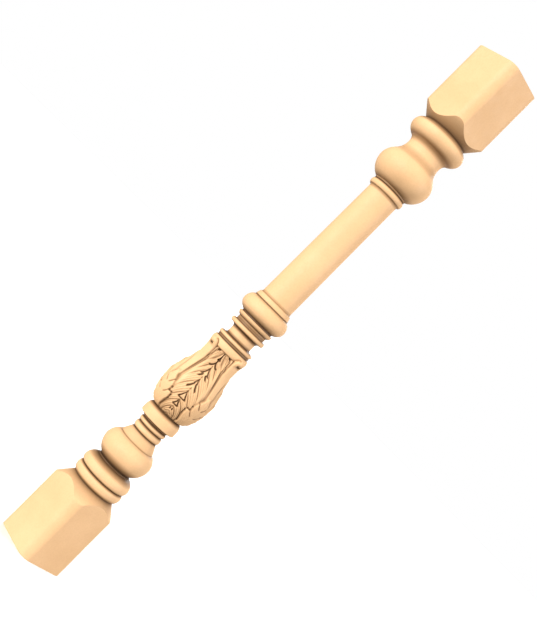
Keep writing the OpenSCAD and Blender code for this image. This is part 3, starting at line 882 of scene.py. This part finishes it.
heights = np.arange(0, OVERALL, LINE_STEP)
outline_r, outline_z = np.array(outline[1:-1]).T
bulb_line = carved_r.mean(axis=0)
bulb_r = np.interp(heights, rows[IN_SIGHT], bulb_line[IN_SIGHT], left=0, right=0)
line_r = np.maximum(np.interp(heights, outline_z, outline_r), bulb_r)
foot_slope = np.interp(heights, (BLOCK_H, Z_NECK), (CORNER_REACH, FOOT_NECK_R))
head_slope = np.interp(heights, (Z_HEAD, OVERALL - BLOCK_H), (HEAD_NECK_R, CORNER_REACH))
line_r = np.where(heights < Z_NECK, foot_slope, line_r)
line_r = np.where(heights > Z_HEAD, head_slope, line_r)

near, wide = (
    sheltered(line_r[None, :], heights[None, :], 0, ((0, 1),), steps) for steps in (NEAR, WIDE)
)
slope = np.gradient(line_r, heights)
tilt = np.minimum(np.abs(slope) / np.hypot(slope, 1), MOST_TILT)
line_hollow = softened(np.maximum(near, TILTED_SHADE * tilt * wide))[0]

points, faces = stone.data.vertices, stone.data.polygons
corner_point = read_all(stone.data.loops, "vertex_index", np.int32)
corner_z = read_all(points, "co", width=3)[corner_point, 2] / MM
wall = np.abs(read_all(faces, "normal", width=3)[:, 2]) < 0.02
on_wall = np.repeat(wall, read_all(faces, "loop_total", np.int32))
on_block = (corner_z < Z_NECK - 5) | (corner_z > Z_HEAD + 5)
stone_hollow = np.where(on_wall & on_block, 0, np.interp(corner_z, heights, line_hollow))
# these values become painted shade in the stone material
keep_hollows(stone.data, stone_hollow, "CORNER")
print("the stem's deepest hollow is", round(float(stone_hollow.max()), 2))

# %% [markdown]
# The material mixes its colours with noise on Object coordinates, so that
# it looks solid rather than wrapped on, and darkens the measured hollows as
# painted shade.

# %% Mix the stone
DEEP_HONEY, PALE_HONEY = (0.600, 0.362, 0.180), (0.650, 0.400, 0.206)
GRAIN = (0.93, 0.92, 0.90)
# painted shade: no darkening, half shade and deep shade, mixed in by how hollow a spot is
UNDARKENED, HALF_SHADE, DEEP_SHADE = (1, 1, 1), (0.50, 0.45, 0.39), (0.14, 0.11, 0.08)


def stone_material(name):
    material = bpy.data.materials.new(name)
    material.use_nodes = True
    nodes, links = material.node_tree.nodes, material.node_tree.links
    shader = nodes["Principled BSDF"]
    shader.inputs["Specular IOR Level"].default_value = 0.25
    place = nodes.new("ShaderNodeTexCoord")

    def noise(scale, detail, rough=0.55):
        node = nodes.new("ShaderNodeTexNoise")
        node.inputs["Scale"].default_value = scale
        node.inputs["Detail"].default_value = detail
        node.inputs["Roughness"].default_value = rough
        links.new(place.outputs["Object"], node.inputs["Vector"])
        return node.outputs["Fac"]

    def ramp(value, stops):
        node = nodes.new("ShaderNodeValToRGB")
        band = node.color_ramp
        while len(band.elements) < len(stops):
            band.elements.new(0.5)
        for element, (place_on, color) in zip(band.elements, stops):
            element.position = place_on
            element.color = (*color, 1)
        links.new(value, node.inputs["Fac"])
        return node.outputs["Color"]

    def blend(kind, share, first, second):
        node = nodes.new("ShaderNodeMix")
        node.data_type, node.blend_type = "RGBA", kind
        for number, value in ((0, share), (6, first), (7, second)):
            socket = node.inputs[number]
            if isinstance(value, bpy.types.NodeSocket):
                links.new(value, socket)
            else:
                socket.default_value = value
        return node.outputs[2]

    drift = ramp(noise(16, 5), [(0.35, DEEP_HONEY), (0.65, PALE_HONEY)])
    grain = ramp(noise(420, 3), [(0.32, GRAIN), (0.60, UNDARKENED)])
    color = blend("MULTIPLY", 0.7, drift, grain)
    attribute = nodes.new("ShaderNodeAttribute")
    attribute.attribute_name = "hollow"
    # painted shade: the measured hollows darken the stone's colour
    painted_shade = ramp(attribute.outputs["Fac"], [(0.09, UNDARKENED), (0.29, HALF_SHADE), (0.50, DEEP_SHADE)])
    links.new(blend("MULTIPLY", 1.0, color, painted_shade), shader.inputs["Base Color"])

    polish = ramp(noise(90, 3), [(0.3, (0.58, 0.58, 0.58)), (0.7, (0.70, 0.70, 0.70))])
    links.new(polish, shader.inputs["Roughness"])
    bump = nodes.new("ShaderNodeBump")
    bump.inputs["Strength"].default_value = 0.12
    bump.inputs["Distance"].default_value = 0.0002
    links.new(noise(900, 2), bump.inputs["Height"])
    links.new(bump.outputs["Normal"], shader.inputs["Normal"])
    return material


limestone = stone_material("honey_limestone")
print("the stone material has", len(limestone.node_tree.nodes), "nodes")

# %% [markdown]
# Both meshes get the stone and are shaded smooth up to a sharpest angle. The
# blocks have very large faces next to very narrow ones, so on the stem each
# normal is weighted by the size of its faces, which keeps the large ones
# looking flat.

# %% Finish the surfaces
for piece, sharpest in ((stone, 32), (bulb, 75)):
    piece.data.materials.clear()
    piece.data.materials.append(limestone)
    bpy.ops.object.select_all(action="DESELECT")
    piece.select_set(True)
    bpy.context.view_layer.objects.active = piece
    bpy.ops.object.shade_smooth_by_angle(angle=math.radians(sharpest))
apply_modifier(stone, "WEIGHTED_NORMAL", keep_sharp=True, weight=80)
print("finished", [piece.name for piece in (stone, bulb)])

# %% [markdown]
# ## Hand over
# Both pieces are one stone, so both ride on the fixed body and stand for
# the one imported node.

# %% Tie the pieces to the frame
for piece in (stone, bulb):
    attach(piece, "root")
    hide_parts("baluster")
